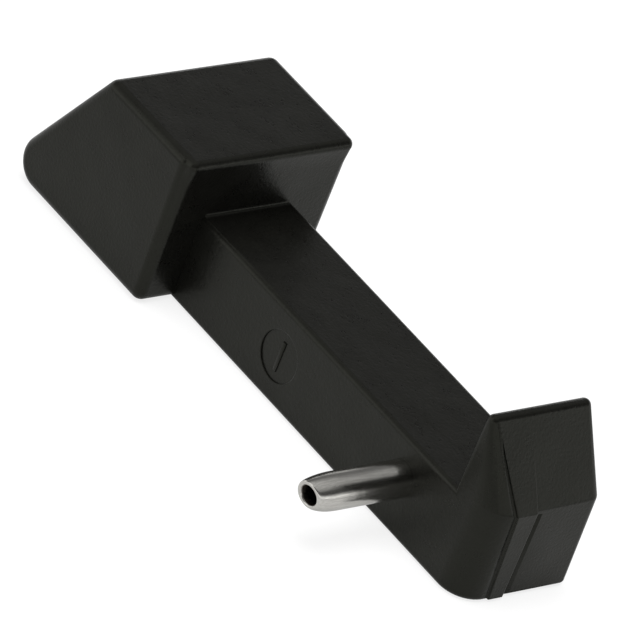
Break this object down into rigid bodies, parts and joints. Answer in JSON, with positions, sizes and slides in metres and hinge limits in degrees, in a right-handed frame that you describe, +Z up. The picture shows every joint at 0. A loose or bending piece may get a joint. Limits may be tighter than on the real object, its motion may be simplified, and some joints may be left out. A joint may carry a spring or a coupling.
{
  "type": "jumper shunt",
  "caption": "Moulded insulated shorting shunt: a wedge-shaped grip head on a straight bar, with a stepped, leaning tail block and a rolled tubular contact standing out of the bar's side.",
  "frame": {"origin": "on the underside, below the contact's axis and half way across the bar", "axes": "+X from the grip head to the tail, -Y along the contact towards its tip, +Z up from the flat underside"},
  "size_m": [0.0288, 0.0118, 0.0079],
  "materials": {
    "insulator": "black moulded nylon with a fine satin grain",
    "contact": "bright tin plate on rolled brass strip"
  },
  "bodies": {
    "root": {"housing": "insulator", "contact_pin": "contact"}
  },
  "joints": []
}
